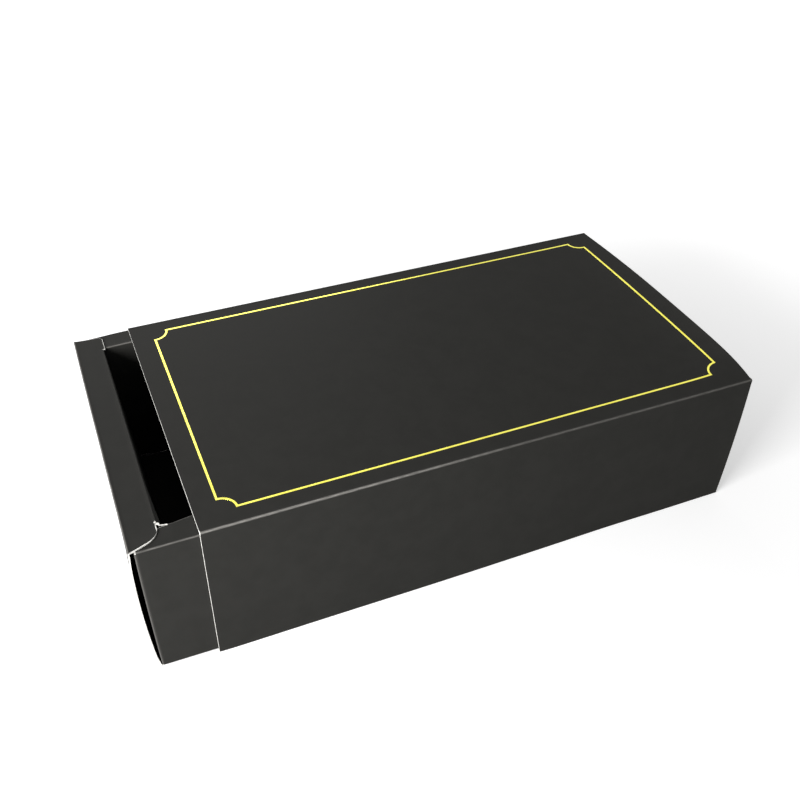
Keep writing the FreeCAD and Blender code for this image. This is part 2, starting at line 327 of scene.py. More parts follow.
class TraySettings(PropertyGroup):
    fold_radius: metres("Fold radius", 0.0004, "Radius of the outside of a fold")
    pulled_out: metres("Pulled out", -tray_middle, "How far the drawer is pulled out")
    half_width: metres("Half width", right_wall_high.x, "Middle to outer wall")
    underside: metres("Underside", tray_floor_low.z, "Height of the base's underside")
    top: metres("Top", front_rim_high.z, "Height of the end rims")
    side_rim: metres("Side rim", 0.008, "Width of the long rims")
    wall_run: metres("Wall run", 0.1038, "Middle to the long walls' corner folds")
    foot_pinch: metres("Foot pinch", 0.00085, "Draw of the corner folds' feet inwards")
    base_run: metres("Base run", 0.1033, "Middle to the base's end folds")
    side_inner_run: metres("Side inner run", 0.0922, "Half length of the inner walls")
    far_front_run: metres("Far front run", 0.0956, "Front end of the far inner wall")
    far_splay: metres("Far splay", 0.00035, "Lean of the far wall outwards at the top")
    flap_length: metres("Corner flap", 0.03, "Length of the corner flaps")
    flap_slant: metres("Flap slant", 0.005, "How far the corner flaps taper")
    end_foot: metres("End foot", 0.104, "Middle to the end walls' feet")
    end_fold: metres("End fold", 0.10558, "Middle to the end walls' top folds")
    end_skew: metres("End skew", 0.00023, "Reach of the top fold's near end past the middle")
    end_bow: metres("End bow", 0.00031, "Bow of the top fold from side to side")
    end_arch: metres("End arch", 0.00023, "Swell of the end walls half way up")
    arch_skew: metres("Arch skew", 0.00033, "More swell at the near side, less at the far")
    arch_open: metres("Arch open", 0.00049, "More swell towards both sides")
    near_fold_out: metres("Near fold out", 0.0004, "Reach of the top fold's near end")
    near_flare: metres("Near flare", 0.00052, "Flare of the end walls' near edges")
    edge_curl: metres("Edge curl", 0.00018, "Curl of the near edges back inwards")
    foot_lift: metres("Foot lift", 0.00075, "Lift of the base's near front corner")
    end_inner_fold: metres("Inner fold", 0.0952, "Middle to the end rims' inner folds")
    end_inner_foot: metres("Inner foot", 0.08985, "Middle to the end inner walls' feet")
    end_inner_half: metres("Inner half", 0.04975, "Half width of the end inner walls")
    ear_edge: metres("Ear edge", 0.09565, "Middle to the ears' inner edges")
    far_ear_edge: metres("Far ear edge", 0.0945, "Middle to the far front ear's edge")
    ear_corner: metres("Ear corner", 0.004, "Radius of an ear's corner")
    far_ear_corner: metres("Far ear corner", 0.0018, "Radius of the far front ear's corner")
    ear_slant: ratio("Ear slant", 0.34, "Draw of an ear's side for each unit of length")
    far_ear_slant: ratio("Far ear slant", 0.1, "Draw of the far front ear's side")
    tab_length: metres("Tab length", 0.018, "Length of the locking tabs")
    slot_play: metres("Slot play", 0.00015, "Play round a tab in its slot")
    far_lift: metres("Far lift", 0.00042, "How far the far rims stand up")
    far_crest: metres("Far crest", 0.0005, "Crest of the far rim behind its front ear")
    near_rise: metres("Near rise", 0.0006, "How far the near rim's inner fold stands up")
    near_draw: metres("Near draw", 0.0012, "Draw of that fold inwards along its middle")
    near_ear_lift: metres("Near ear lift", 0.0003, "Lift of the near front ear")
    far_ear_lift: metres("Far ear lift", 0.00005, "Lift of the far front ear")
    ear_bevel: metres("Ear bevel", 0.0003, "Coating lost along an ear's edge")
    far_ear_bevel: metres("Far ear bevel", 0.00018, "Coating lost behind the far front ear")
    far_foot_draw: metres("Far foot draw", 0.0023, "Draw of the far inner wall's foot")
    far_foot_bevel: metres("Far foot bevel", 0.0009, "Coating lost along that foot")
    loose_fold: metres("Loose fold", 0.00105, "Sag of the rim beside the near front ear")


class FinishSettings(PropertyGroup):
    coating: tint("Coating", (0.03, 0.0296, 0.0275), "Matte black coating")
    # The fold colour is a painted highlight along the folds as well as rubbing of the coating
    worn_fold_highlight: tint("Worn fold", (0.3, 0.288, 0.27), "Coating rubbed along a fold")
    core: tint("Core", (0.87, 0.855, 0.81), "White core at the cut edges")
    foil: tint("Foil", (1.0, 0.94, 0.16), "Stamped gold foil")
    dust: tint("Dust", (0.5, 0.49, 0.46), "Specks of dust on the coating")
    coating_roughness: ratio("Coating roughness", 0.5, "Roughness of the coating")
    foil_roughness: ratio("Foil roughness", 0.3, "Roughness of the foil")


class StudioSettings(PropertyGroup):
    room_light: ratio("Room light", 0.26, "Even light from all around")
    key_light: ratio("Key light", 6.0, "Power of the soft lamp in front in watts")
    far_light: ratio("Far light", 0.85, "Power of the soft lamp on the far side in watts")
    floor_glow: ratio("Floor glow", 0.48, "Brightness added to the floor near the box")
    floor: tint("Floor", (0.8, 0.8, 0.8), "Pale floor")


SETTINGS = {
    "board": BoardSettings,
    "sleeve": SleeveSettings,
    "foil": FoilSettings,
    "tray": TraySettings,
    "finish": FinishSettings,
    "studio": StudioSettings,
}


class GiftBoxSettings(PropertyGroup):
    board: PointerProperty(type=BoardSettings, name="Board")
    sleeve: PointerProperty(type=SleeveSettings, name="Sleeve")
    foil: PointerProperty(type=FoilSettings, name="Foil line")
    tray: PointerProperty(type=TraySettings, name="Tray")
    finish: PointerProperty(type=FinishSettings, name="Finish")
    studio: PointerProperty(type=StudioSettings, name="Studio")


# Shapes


def unit(vectors):
    """Each vector divided by its own length."""
    return vectors / np.linalg.norm(vectors, axis=-1, keepdims=True)


def ease(value):
    """Smooth step: three times the square less twice the cube of a value held in 0 to 1."""
    held = np.clip(value, 0, 1)
    return held * held * (3 - 2 * held)


def way_along(value, start, length):
    """The share of a length from its start that a value has gone, held in 0 to 1."""
    return np.clip((value - start) / length, 0, 1)


def inner_shares(count):
    """The shares that split a run into count equal cells, without its two ends."""
    return np.linspace(0, 1, count + 1)[1:-1]


def filled(breaks, step):
    """The breaks in order, with the gaps between them split into cells no longer than step."""
    ordered = np.unique(np.round(breaks, 8))
    runs = [
        np.linspace(start, end, max(1, math.ceil((end - start) / step)) + 1)[:-1]
        for start, end in zip(ordered[:-1], ordered[1:])
    ]
    return np.append(np.concatenate(runs), ordered[-1])


def mirrored(half):
    """The values and their negatives, in order and each once."""
    return np.unique(np.round(np.concatenate([-half, half]), 8))


def wander(first, second):
    """A slow wave over two lengths in metres: a sum of four sines of different headings."""
    return (
        np.sin(first * 61 + second * 23 + 0.4)
        + 0.7 * np.sin(first * 37 - second * 71 + 1.9)
        + 0.5 * np.sin(first * 113 + second * 97 + 3.1)
        + 0.4 * np.sin(first * 19 - second * 151 + 5.2)
    ) / 2.6


def strip_corners(stations, *places):
    """The corners of a folded strip, as an array of corner, station and two places."""
    spread = [[coordinate + 0 * stations for coordinate in place] for place in places]
    return np.array(spread).transpose(0, 2, 1)


def panel_rows(start, end, outward, shares, folded, bead):
    """The rows of one straight panel. folded says which of its two ends are folds."""
    length = np.linalg.norm(end - start, axis=-1)
    share_rows = [0 * length, 0 * length + 1]
    if shares is not None:
        share_rows += [np.broadcast_to(share, length.shape) for share in shares]
        share_rows += [place / length for place in BESIDE_FOLD if folded[0]]
        share_rows += [1 - place / length for place in BESIDE_FOLD if folded[1]]
    share = np.sort(np.stack(share_rows), axis=0)
    from_start = share * length if folded[0] else np.ones_like(share)
    from_end = (1 - share) * length if folded[1] else np.ones_like(share)
    from_fold = np.minimum(from_start, from_end)
    fold = FOLD_AT_TANGENT * np.clip(1 - from_fold / FOLD_FADE, 0, 1)
    proud = bead * np.exp(-((from_fold / BEAD_REACH) ** 2))
    points = start + (end - start) * share[..., None] + outward * proud[..., None]
    return points, np.broadcast_to(outward, points.shape), share, fold


def fold_rows(end, outward, turn, fold_radius, bead):
    """The rows inside one fold: its centre plus the outward direction turned left."""
    part = (np.arange(1, FOLD_STEPS) / FOLD_STEPS)[:, None]
    angle = part * turn
    cosine, sine = np.cos(angle), np.sin(angle)
    first, second = outward[:, 0], outward[:, 1]
    across = np.stack([first * cosine - second * sine, first * sine + second * cosine], axis=-1)
    points = end - outward * fold_radius + across * (fold_radius + bead)
    rise = FOLD_AT_TANGENT + (1 - FOLD_AT_TANGENT) * np.sin(math.pi * part) ** FOLD_POWER
    return points, across, np.zeros_like(angle), np.broadcast_to(rise, angle.shape)


class FoldedLine:
    """The outside face of a strip of board folded at its corners, seen along its folds.

    The strip's sharp outside corners all turn left. Each fold is the arc of the fold
    radius that touches both panels, and each panel is the straight run between two
    arcs, split at its shares. A panel whose shares are None gets no rows but its two
    ends. The scored bead stands proud by its whole height on each fold and by a bell
    curve of the distance beside it.
    points and normals are by row and station, share is the place across the panel,
    fold is 1 in the middle of a fold and fades out beside it, and along is the
    distance from the strip's start. row_label is twice the panel's number for the
    rows of a panel and one more for those of the fold that follows it, and cell_label
    says the same of the cells between the rows.
    """

    def __init__(self, corners, fold_radius, shares, bead):
        heading = unit(np.diff(corners, axis=0))
        outward = np.stack([heading[..., 1], -heading[..., 0]], axis=-1)
        before, after = heading[:-1], heading[1:]
        crossed = before[..., 0] * after[..., 1] - before[..., 1] * after[..., 0]
        turns = np.arctan2(crossed, np.sum(before * after, axis=-1))
        reach = (fold_radius * np.tan(turns / 2))[..., None]
        starts, ends = corners[:-1].copy(), corners[1:].copy()
        starts[1:] += after * reach
        ends[:-1] -= before * reach
        last = len(shares) - 1
        rows = []
        for number, split in enumerate(shares):
            start, end, out = starts[number], ends[number], outward[number]
            rows.append(panel_rows(start, end, out, split, (number > 0, number < last), bead))
            if number < last:
                rows.append(fold_rows(end, out, turns[number], fold_radius, bead))
        self.points, self.normals, self.share, self.fold = map(np.concatenate, zip(*rows))
        labels = np.repeat(np.arange(len(rows)), [len(row[0]) for row in rows])[:, None]
        self.row_label = labels
        self.cell_label = np.where(labels[1:] % 2 == 1, labels[1:], labels[:-1])
        steps = np.linalg.norm(np.diff(self.points, axis=0), axis=-1)
        self.along = np.concatenate([np.zeros_like(steps[:1]), np.cumsum(steps, axis=0)])

    def beside(self, label):
        """True for the rows at either side of the cells with that label."""
        match = self.cell_label == label
        return np.pad(match, ((0, 1), (0, 0))) | np.pad(match, ((1, 0), (0, 0)))


def mesh_from_faces(name, places, quads, material_of_face, smooth_limit):
    """A mesh of the used places, shaded smooth but for edges sharper than the limit."""
    used, renumbered = np.unique(quads, return_inverse=True)
    mesh = bpy.data.meshes.new(name)
    mesh.from_pydata(places[used], [], renumbered.reshape(quads.shape))
    mesh.polygons.foreach_set("material_index", material_of_face.astype(np.int32))
    mesh.shade_smooth()
    mesh.set_sharp_from_angle(angle=math.radians(smooth_limit))
    return mesh, used


def ways_in(first, last):
    """1 at the places whose cut cells lie ahead of them, and -1 where they lie behind."""
    ahead = np.pad(first, ((0, 1), (0, 1))) | np.pad(first, ((0, 1), (1, 0)))
    behind = np.pad(last, ((1, 0), (0, 1))) | np.pad(last, ((1, 0), (1, 0)))
    return ahead.astype(int) - behind


def board_mesh(
    name, outside, normals, thickness, present, bevel, sheet=None, bare=False, smooth=30
):
    """The closed mesh of one sheet of board, coated on both faces.

    outside is the grid of places on the printed face and normals its outward
    directions. The inside face is the outside moved back by the thickness. present
    says which cells the die left. Wherever a present cell has no neighbour the sheet
    has a cut edge: the printed face stops short of it by the bevel, a narrow slope
    falls from there at its own steepness, and a wall goes on down to the inside face.
    bare says which cells have lost their coating down to the core. sheet gives the
    rubbing with its painted fold highlight and the places along the strip and along its
    folds, for the materials.
    """
    row_way = unit(np.gradient(outside, axis=0) + TINY)
    column_way = unit(np.gradient(outside, axis=1) + TINY)
    padded = np.pad(present, 1)
    row_first = present & ~padded[:-2, 1:-1]
    row_last = present & ~padded[2:, 1:-1]
    column_first = present & ~padded[1:-1, :-2]
    column_last = present & ~padded[1:-1, 2:]
    along_rows = ways_in(row_first, row_last)[..., None] * row_way
    along_columns = ways_in(column_first.T, column_last.T).T[..., None] * column_way

    number = np.arange(outside[..., 0].size).reshape(outside.shape[:2])
    total = number.size
    slope = np.broadcast_to(bevel, number.shape)[..., None]
    printed = outside + (along_rows + along_columns) * slope
    fallen = outside - normals * slope * CUT_STEEPNESS
    inside = outside - normals * thickness
    corners = number[:-1, :-1], number[:-1, 1:], number[1:, 1:], number[1:, :-1]
    face = np.stack(corners, axis=-1)[present]
    quads = [face, face[:, ::-1] + 2 * total]
    for side, mask in enumerate((row_first, column_last, row_last, column_first)):
        first, second = corners[side][mask], corners[(side + 1) % 4][mask]
        fall = np.stack([second, first, first + total, second + total], axis=-1)
        quads += [fall, fall + total]
    quads = np.concatenate(quads)
    material = np.ones(len(quads), int)
    material[: 2 * len(face)] = 0
    material[: len(face)] = np.broadcast_to(bare, present.shape)[present]

    across = outside[:-1, 1:] - outside[:-1, :-1]
    down = outside[1:, :-1] - outside[:-1, :-1]
    facing = np.sum(np.cross(across, down) * normals[:-1, :-1], axis=-1)[present]
    if np.sum(facing) < 0:
        quads = quads[:, ::-1]
    places = np.concatenate([layer.reshape(-1, 3) for layer in (printed, fallen, inside)])
    mesh, used = mesh_from_faces(name, places, quads, material, smooth)
    if sheet is None:
        return mesh

    # The rubbing with its painted fold highlight is kept at each vertex, and the places along
    # the sheet as a UV map in metres
    spread = [np.broadcast_to(values, number.shape).ravel() for values in sheet]
    wear_and_highlight, along, station = np.tile(spread, 3)[:, used].astype(np.float32)
    mesh.attributes.new("wear_and_highlight", "FLOAT", "POINT").data.foreach_set("value", wear_and_highlight)
    vertex_of_corner = np.empty(len(mesh.loops), np.int32)
    mesh.loops.foreach_get("vertex_index", vertex_of_corner)
    pairs = np.stack([along, station], axis=-1)[vertex_of_corner]
    mesh.uv_layers.new(name="SheetMap").data.foreach_set("uv", pairs.ravel())
    return mesh


def add_piece(name, mesh, body, nodes, materials):
    """Put a finished mesh in the scene, on its body and in place of its CAD nodes."""
    for material in materials:
        mesh.materials.append(bpy.data.materials[material])
    piece = bpy.data.objects.new(name, mesh)
    bpy.context.scene.collection.objects.link(piece)
    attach(piece, body)
    if nodes:
        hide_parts(*nodes)


def sleeve_top_rise(x, y, board, sleeve):
    """How far the sleeve's top face stands above its flat height.

    A flare that grows with the cube of the way into the flare's length, arched across
    the panel as one less a power of the place from the middle, plus a slow ripple.
    """
    edge = sleeve.half_width - board.fold_radius
    share = np.clip((y - sleeve.half_length + sleeve.flare_length) / sleeve.flare_length, 0, 1)
    place = np.clip(x / edge, -1, 1)
    arch = 1 - np.abs(place) ** np.where(place > 0, NEAR_ARCH_POWER, FAR_ARCH_POWER)
    flare = sleeve.top_flare * share**3 * (1 + NEAR_FLARE_EXTRA * place)
    return arch * (flare + board.ripple * wander(x, y))


def sleeve_mesh(board, sleeve):
    """The sleeve as one sheet: bottom, right, top and left panels and the glue flap.

    The folded line lies across the box and is carried along it. The glue flap's ends
    slant, so there the stations draw together in proportion to the way across it.
    """
    side, end, height = sleeve.half_width, sleeve.half_length, sleeve.height
    thickness, fold = board.thickness, board.fold_radius
    beside_cut = np.array(BESIDE_CUT)
    breaks = [*(beside_cut - end), end - sleeve.flare_length, *(end - beside_cut)]
    stations = filled(breaks, SLEEVE_CELL)
    leaned = LEAN_BEFORE + way_along(stations, *LEAN) ** LEAN_POWER
    foot = sum(
        swell * np.exp(-(((stations - middle) / width) ** 2))
        for middle, width, swell in FOOT_SWELLS
    )
    lift = sleeve.corner_lift * np.clip(1 - (stations + end) / CORNER_LIFT_LENGTH, 0, 1) ** 2
    corners = strip_corners(
        stations,
        (thickness - side, 0),
        (side + foot, lift),
        (side + sleeve.top_lean * leaned, height),
        (-side, height),
        (-side, thickness),
        (sleeve.flap_width - side, thickness),
    )
    shares = [inner_shares(count) for count in SLEEVE_PANEL_CELLS]
    line = FoldedLine(corners, fold, shares, board.bead)
    x, z = line.points[..., 0], np.maximum(line.points[..., 1], 0)
    y = np.broadcast_to(stations, x.shape)
    right, top, left, flap = (line.row_label == label for label in (2, 4, 6, 8))

    rise = np.clip((y - end + sleeve.flare_length) / sleeve.flare_length, 0, 1) ** 3
    arch = 1 - np.clip((z - height / 2) / (height / 2 - fold), -1, 1) ** 2
    swell = arch * (sleeve.side_flare * rise + board.ripple * wander(z + SIDE_RIPPLE_START, y))
    x = x + right * swell - left * swell
    z = z + top * sleeve_top_rise(x, y, board, sleeve)
    across = np.clip((x + side - fold) / (sleeve.flap_width - fold), 0, 1)
    y = np.where(flap, y * (1 - sleeve.flap_slant * across / end), y)
    outside = np.stack([x, y, z], axis=-1)
    normals = np.stack([line.normals[..., 0], 0 * y, line.normals[..., 1]], axis=-1)
    present = np.ones((len(x) - 1, len(stations) - 1), bool)

    # The mouth's edge is crushed most at the near top corner and least at the far one
    near = np.clip((x + side) / (2 * side), 0, 1)
    ragged = 1 + CRUSH_RAGGED * wander(line.along * 31, line.along * 17)
    at_corner = np.exp(-(((x - side) ** 2 + (z - height) ** 2) / CRUSHED_CORNER**2))
    crush = sleeve.mouth_crush * (FAR_CRUSH + near**2 + CORNER_CRUSH * at_corner) * ragged
    bevel = np.where(y < BESIDE_CUT[1] / 2 - end, crush, board.cut_bevel)

    # The near top fold gets the most rubbing and painted highlight, and most of all towards
    # the drawer, where the painted highlight stands for the light from the front
    rubbed_and_lit = NEAR_TOP_WEAR_HIGHLIGHT + (1 - NEAR_TOP_WEAR_HIGHLIGHT) * ease((HIGHLIGHT_FADE_END - y) / HIGHLIGHT_FADE_LENGTH)
    near_top = (x > 0) & (z > height / 2)
    wear_and_highlight = line.fold * np.where(near_top, rubbed_and_lit, SLEEVE_FOLD_WEAR_HIGHLIGHT)
    sheet = (wear_and_highlight, line.along, y)
    return board_mesh("sleeve_blank", outside, normals, thickness, present, bevel, sheet)


def foil_mesh(board, sleeve, foil):
    """The stamped line: a low ridge carried round the frame.

    Across the line the height is one less the thirtieth power of the way from its
    middle. Each scooped corner is an arc about the frame's own corner whose radius
    shrinks as the line is offset outwards, so lines and arcs meet in sharp mitres.
    """
    half_x = sleeve.half_width - foil.side_inset
    half_y = sleeve.half_length - foil.end_inset
    across = np.array(ACROSS_FOIL)
    offset = across * foil.line_width / 2
    radius = foil.scoop - offset
    swing = np.arcsin(offset / radius)
    part = np.linspace(0, 1, SCOOP_ROWS)[:, None]
    angle = (swing - math.pi / 2) * (1 - part) + (-math.pi - swing) * part
    quarter = np.stack(
        [half_x + radius * np.cos(angle), half_y + radius * np.sin(angle)], axis=-1
    )
    corners = [quarter, quarter[::-1] * [-1, 1], -quarter, quarter[::-1] * [1, -1]]
    runs = []
    for number, corner in enumerate(corners):
        following = corners[(number + 1) % 4]
        between = inner_shares(FOIL_CELLS[number % 2])[:, None, None]
        runs += [corner, corner[-1] + (following[0] - corner[-1]) * between]
    path = np.concatenate(runs)

    middle = path[:, 3:4]
    steps = np.linalg.norm(np.diff(middle[:, 0], axis=0, append=middle[:1, 0]), axis=-1)
    travelled = np.cumsum(steps)[:, None]
    waver = wander(travelled * 40, across * 0.2) - 0.3
    path = middle + (path - middle) * (1 + foil.waver / foil.line_width * waver)[..., None]
    x, y = path[..., 0] + foil.shift_across, path[..., 1] + foil.shift_along
    y = y - foil.back_skew * np.clip(x / half_x, 0, 1) ** 2 * np.clip(y / half_y, 0, 1)
    surface = sleeve.height + sleeve_top_rise(x, y, board, sleeve)
    upper = np.stack([x, y, surface + foil.thickness * (1 - across**30)], axis=-1)
    lower = np.stack([x, y, surface - foil.sink], axis=-1)[:, [6, 3, 0]]
    rings = np.concatenate([upper, lower], axis=1)

    number = np.arange(rings[..., 0].size).reshape(rings.shape[:2])
    following = np.roll(number, -1, axis=0)
    sides = [number, following, np.roll(following, -1, axis=1), np.roll(number, -1, axis=1)]
    quads = np.stack(sides, axis=-1).reshape(-1, 4)
    finish = np.zeros(len(quads))
    return mesh_from_faces("foil_frame", rings.reshape(-1, 3), quads, finish, FOIL_SMOOTH)[0]


def tab_edges(shares, half_span, tray):
    """The ends of the tabs along a wall, and of their slots in the base, as pairs."""
    reach = tray.tab_length / 2
    tabs = [(share * half_span - reach, share * half_span + reach) for share in shares]
    slots = [(start - tray.slot_play, end + tray.slot_play) for start, end in tabs]
    return tabs, slots


def inside_any(values, spans):
    """True where a value lies in one of the spans."""
    return np.any([(values > start) & (values < end) for start, end in spans], axis=0)


def far_rise(x, y, tray):
    """How far the tray's rims stand up, growing towards the far side and the front.

    The far long rim has a crest besides, behind the ear that lies on its front end.
    """
    across = np.clip(-x / tray.half_width, 0, 1) ** FAR_RISE_POWER
    forward = FAR_RISE_MIDDLE - (1 - FAR_RISE_MIDDLE) * y / tray.end_fold
    crest = ease(way_along(y, *CREST_CLIMB)) * (1 - ease(way_along(y, *CREST_FALL)))
    return across * (tray.far_lift * forward + tray.far_crest * crest)


def long_walls_mesh(board, tray):
    """The base with both long hollow walls and their four corner flaps, as one sheet.

    The folded line lies across the tray and is carried along it. Past the long
    outer walls' ends the stations go on round a corner fold and along the flap, so
    a flap is the wall's own sheet turned through a right angle.
    """
    side, under, thickness = tray.half_width, tray.underside, board.thickness
    top = tray.top - thickness
    inner = side - tray.side_rim
    run, fold, inner_run = tray.wall_run, tray.fold_radius, tray.side_inner_run
    lean = thickness * (tray.end_inner_fold - tray.end_inner_foot) / (tray.top - under)
    side_tabs, side_slots = tab_edges(SIDE_TAB_SHARES, inner_run, tray)
    end_slots = tab_edges(END_TAB_SHARES, tray.end_inner_half, tray)[1]
    slot_near, slot_far = inner - tray.slot_play, inner + thickness + tray.slot_play
    slot_start = tray.end_inner_foot + SLOT_SET_IN
    slot_end = tray.end_inner_foot + thickness + lean + tray.slot_play

    # The stations: along the wall, round the corner fold and on along the flap
    quarter = fold * math.pi / 2
    flap_run = run + quarter
    flap = tray.flap_length - fold
    flap_end = flap_run + flap
    half = [0, inner_run - BESIDE_END, inner_run, tray.far_front_run, UNDER_RIM, run]
    half += [abs(place) for pair in side_tabs + side_slots for place in pair]
    half += [slot_start, slot_end, tray.base_run]
    half += [flap_run, flap_run + BESIDE_END, flap_end - BESIDE_CUT[1], flap_end]
    half += list(run + quarter * inner_shares(CORNER_FOLD_CELLS))
    half += list(flap_end - TIP_RADIUS * (1 - np.cos(np.linspace(*TIP_ANGLES))))
    stations = mirrored(filled(half, LONG_WALL_CELL))
    distance = np.abs(stations)

    free_of_ear = 0.5 + 0.5 * ease((EAR_REACH - distance) / EAR_REACH_FADE)
    near_fold = top + tray.near_rise * free_of_ear
    near_in = inner - tray.near_draw * ease((inner_run - distance) / NEAR_DRAW_FADE)
    near_foot = under + tray.foot_lift * way_along(-stations, *FOOT_LIFT)
    corners = strip_corners(
        stations,
        (-inner, under),
        (-inner, top + far_rise(-inner, stations, tray)),
        (-side - tray.far_splay, top + far_rise(-side, stations, tray)),
        (-side, under),
        (side, near_foot),
        (side, top),
        (near_in, near_fold),
        (inner, under),
    )
    base_breaks = [0, *(abs(place) for pair in end_slots for place in pair), slot_near, slot_far]
    base_x = mirrored(filled([*base_breaks, side - fold], BASE_CELL))[1:-1]
    left_height = top + far_rise(-inner, stations, tray) - fold - under
    up_wall, rim, wall = (inner_shares(count) for count in LONG_PANEL_CELLS)
    rising = [thickness / left_height, *up_wall]
    falling = [*up_wall, 1 - thickness / (near_fold - fold - under)]
    base = (base_x + side - fold) / (2 * (side - fold))
    line = FoldedLine(corners, fold, [rising, rim, wall, base, wall, rim, falling], board.bead)
    x, z = line.points[..., 0], line.points[..., 1]
    across, up = line.normals[..., 0], line.normals[..., 1]
    y = np.broadcast_to(stations, x.shape)
    label = line.row_label
    far_inner, near_inner = label == 0, label == 12
    outer = (label == 4) | (label == 8)

    # Small ripples, which leave the folds and the ends where they are
    arch = 4 * line.share * (1 - line.share)
    calm = ease((run - np.abs(y)) / CALM_LENGTH)
    ripple = board.ripple * arch * calm * wander(line.along + LONG_RIPPLE_START, y)
    x = x + across * ripple * (outer | far_inner | near_inner)

    # The far inner wall's foot stands off its fold where no tab holds it, in front
    held = HELD_SHARE * ease(way_along(-y, *HELD_FOOT))
    free = ease(way_along(-y, *FREE_FOOT)) * (1 - held)
    x = x + tray.far_foot_draw * free * (1 - line.share) * far_inner
    scraped = far_inner & (line.share < SCRAPED_SHARE) & (y < -SCRAPED_START)
    bevel = np.where(scraped, tray.far_foot_bevel, board.cut_bevel)

    # Corner folds and flaps
    past = np.maximum(np.abs(y) - run, 0)
    turned = np.minimum(past / fold, math.pi / 2)
    straight = np.maximum(past - quarter, 0)
    flap_x = x + np.sign(x) * (fold * (np.cos(turned) - 1) - straight)
    low = np.clip((top - z) / (top - under), 0, 1) ** 2
    pinch = tray.foot_pinch * low * np.clip(1 - (run - np.abs(y)) / PINCH_LENGTH, 0, 1) ** 2
    flap_y = np.sign(y) * (np.minimum(np.abs(y), run) + fold * np.sin(turned) - pinch)
    middle = (under + top) / 2
    tip = np.clip((straight - flap + TIP_RADIUS) / TIP_RADIUS, 0, 1)
    drawn = tray.flap_slant * straight / flap + TIP_RADIUS * (1 - np.sqrt(1 - TIP_ROUND * tip**2))
    flap_z = middle + (z - middle) * (1 - drawn / (top - middle))
    x = np.where(outer, flap_x, x)
    z = np.where(outer & (past > 0), flap_z, z)
    normal_x = np.where(outer, across * np.cos(turned), across)
    normal_y = np.where(outer, np.sign(y) * np.sin(turned), 0)
    place_y = np.where(outer, flap_y, y) - tray.pulled_out
    outside = np.stack([x, place_y, z], axis=-1)
    normals = unit(np.stack([normal_x, normal_y, up], axis=-1))

    # What the die left
    cell = line.cell_label
    mid_y = np.abs(stations[:-1] + stations[1:])[None] / 2
    mid_row = (line.points[:-1] + line.points[1:])[:, len(stations) // 2] / 2
    mid_x, mid_z = np.abs(mid_row[:, :1]), mid_row[:, 1:]
    present = (mid_y < run) & (cell > 1) & (cell < 11)
    present |= (cell == 6) & (mid_y < tray.base_run)
    present |= ((cell == 4) | (cell == 8)) & (mid_y > run)
    rim_fold = ((cell == 1) | (cell == 11)) & (mid_x > inner + RIM_FOLD_HALF)
    present |= rim_fold & (mid_y < run)
    wall_run = np.where((cell < 2) & (stations[:-1] < 0), tray.far_front_run, inner_run)
    inner_wall = ((cell < 2) | (cell > 10)) & (mid_y < wall_run)
    present |= inner_wall & ((mid_z > under + thickness) | inside_any(mid_y, side_tabs))
    side_slot = (mid_x > slot_near) & (mid_x < slot_far) & inside_any(mid_y, side_slots)
    end_slot = (mid_y > slot_start) & (mid_y < slot_end) & inside_any(mid_x, end_slots)
    present &= ~((cell == 6) & (side_slot | end_slot))

    # Painted highlight with some rubbing of the coating along the folds and down the corner folds
    from_corner = np.abs(y) - run - fold * CORNER_HIGHLIGHT_PLACE
    corner_wear_highlight = CORNER_WEAR_HIGHLIGHT * np.exp(-((from_corner / CORNER_HIGHLIGHT_WIDTH) ** 2)) * outer
    wear_and_highlight = np.maximum(line.fold * LONG_FOLD_WEAR_HIGHLIGHT, corner_wear_highlight)
    sheet = (wear_and_highlight, line.along, y)
    return board_mesh("tray_long_walls", outside, normals, thickness, present, bevel, sheet)


def end_wall_corners(end, stations, tray):
    """The corners of an end wall's strip, its top fold's places and its near flare.

    The top fold's place follows the square of the place from side to side. The rim's
    inner fold is a double one, so its corner is cut back to two, and in front it sags
    towards the near side.
    """
    under = tray.underside
    aside = stations / tray.half_width
    near_share = np.clip(aside, 0, 1)
    flare = tray.near_flare * way_along(stations, *NEAR_FLARE) ** 2
    flare = flare - tray.edge_curl * way_along(stations, *NEAR_CURL) ** 2
    bowed = tray.end_skew * aside - tray.end_bow * aside**2
    near_out = tray.near_fold_out * near_share**NEAR_OUT_POWER
    end_fold = tray.end_fold + bowed + near_out + FLARE_AT_FOLD * flare
    height = tray.top + far_rise(stations, end * tray.end_fold, tray)
    fall = np.stack([tray.end_inner_foot - tray.end_inner_fold + 0 * stations, under - height])
    fall_x, fall_z = fall / np.linalg.norm(fall, axis=0)
    turn = np.arccos(np.clip(-fall_x, -1, 1))
    facet = 2 * tray.fold_radius * np.tan(turn / 4) + CLOSED_DOUBLE_FOLD
    cut_back = facet / (2 * np.cos(turn / 2))
    loose, foot = 0, under
    if end < 0:
        loose = tray.loose_fold * way_along(stations, *LOOSE_RIM)
        foot = under + FRONT_FOOT_LIFT * tray.foot_lift * near_share
    inner_x = tray.end_inner_fold + fall_x * cut_back - loose
    inner_z = height + fall_z * cut_back - LOOSE_SAG * loose
    corners = strip_corners(
        stations,
        (tray.base_run, foot),
        (tray.end_foot, foot),
        (end_fold, height),
        (tray.end_inner_fold + cut_back, height),
        (inner_x, inner_z),
        (tray.end_inner_foot, under),
    )
    return corners, end_fold, flare


